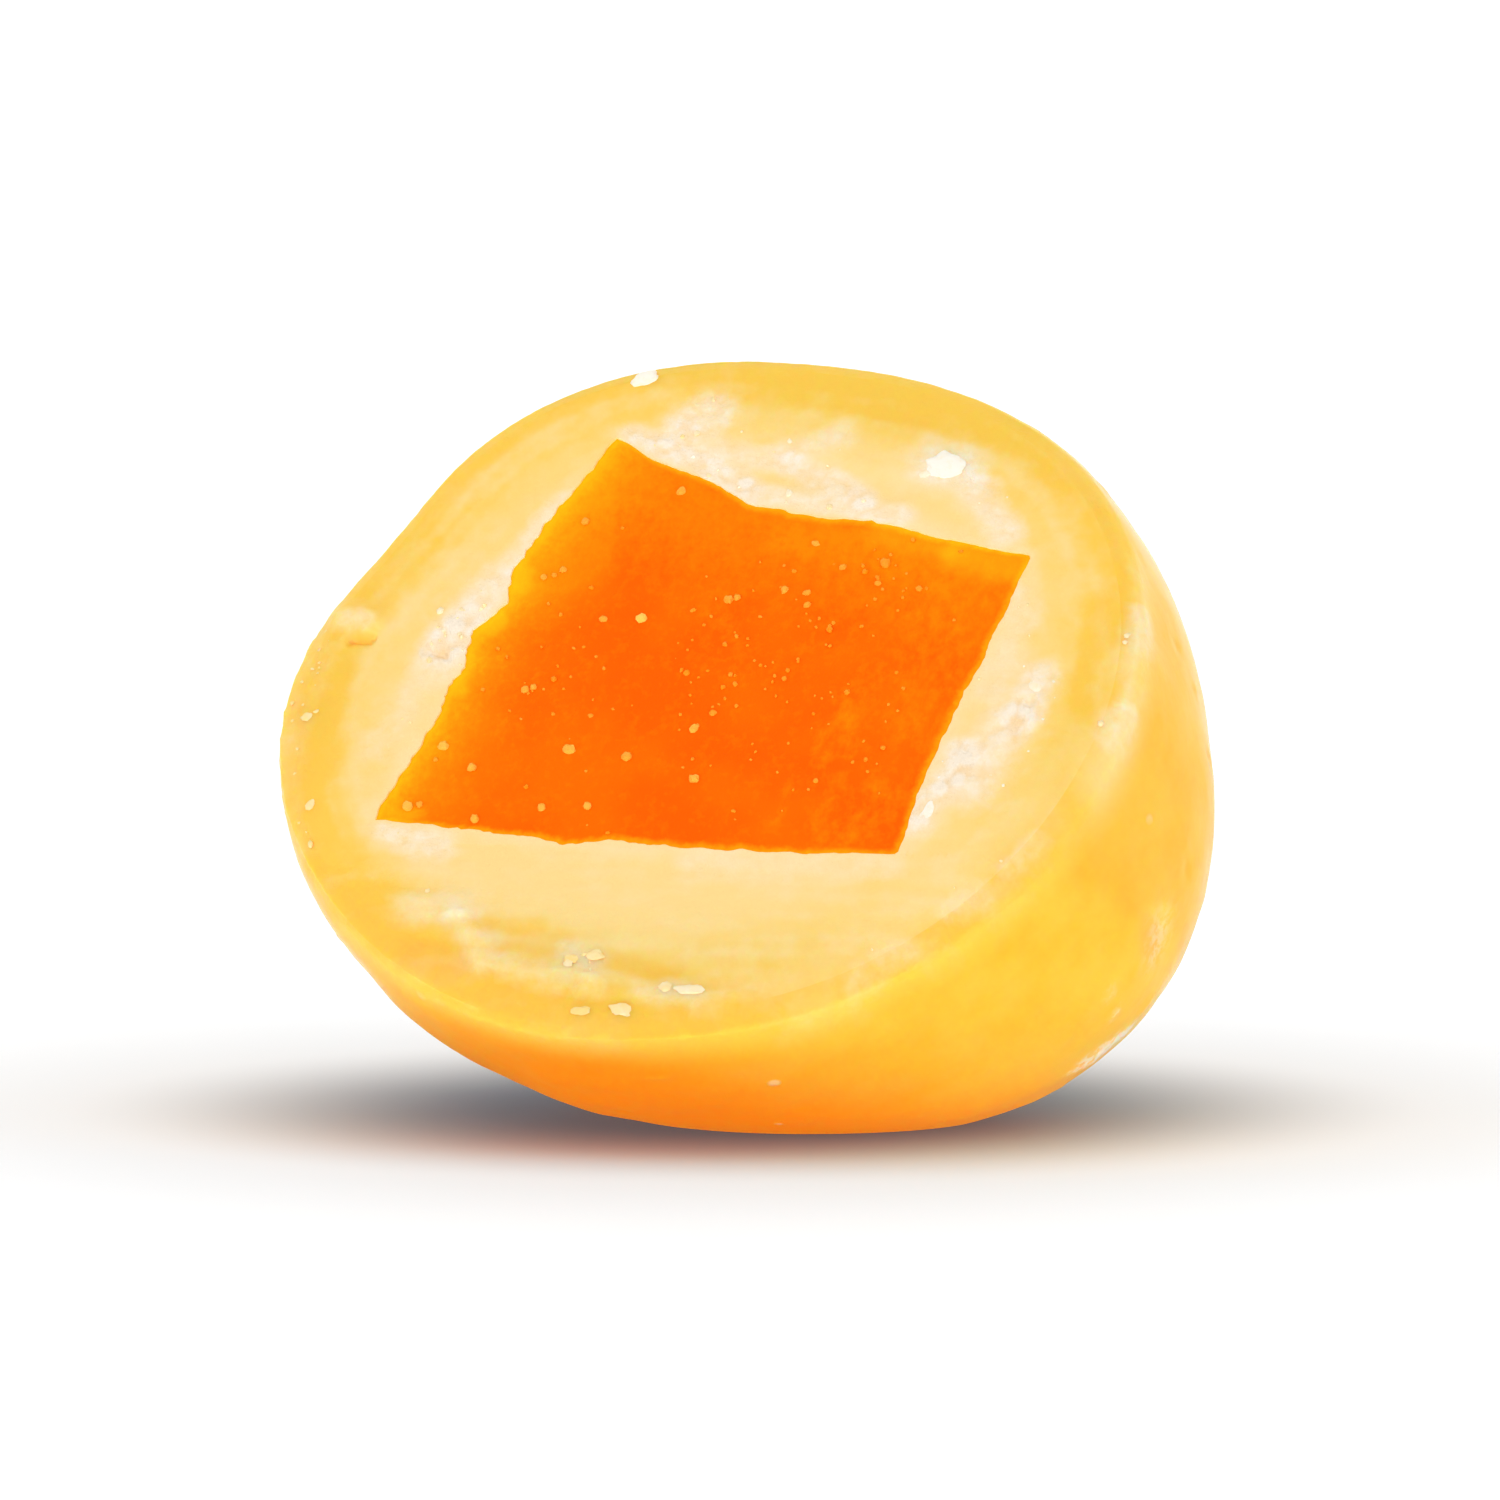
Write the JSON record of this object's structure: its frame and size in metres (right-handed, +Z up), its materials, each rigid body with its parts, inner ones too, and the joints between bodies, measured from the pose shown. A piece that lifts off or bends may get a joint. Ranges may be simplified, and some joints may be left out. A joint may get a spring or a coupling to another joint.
{
  "type": "yogurt covered papaya candy, cut in half",
  "caption": "Rounded candy cut open by a sloping knife cut, with a diced papaya core in a pale coat under a tinted outer coat, lying on its rounded underside.",
  "frame": {"origin": "under the middle of the candy's box, on the surface that it rests on", "axes": "+Z up, -Y to the front, where the cut faces, and +X to the right as seen from the front"},
  "size_m": [0.02, 0.0176, 0.0159],
  "materials": {
    "tinted_coat": "satin yogurt coating, waxy, yellow-orange",
    "pale_coat": "cut yogurt coating, cream, matt and slightly crumbly",
    "papaya_core": "candied papaya, orange, translucent, with fine sugar specks"
  },
  "bodies": {
    "root": {"tinted_coat": "tinted_coat", "pale_coat": "pale_coat", "papaya_core": "papaya_core"}
  },
  "joints": []
}
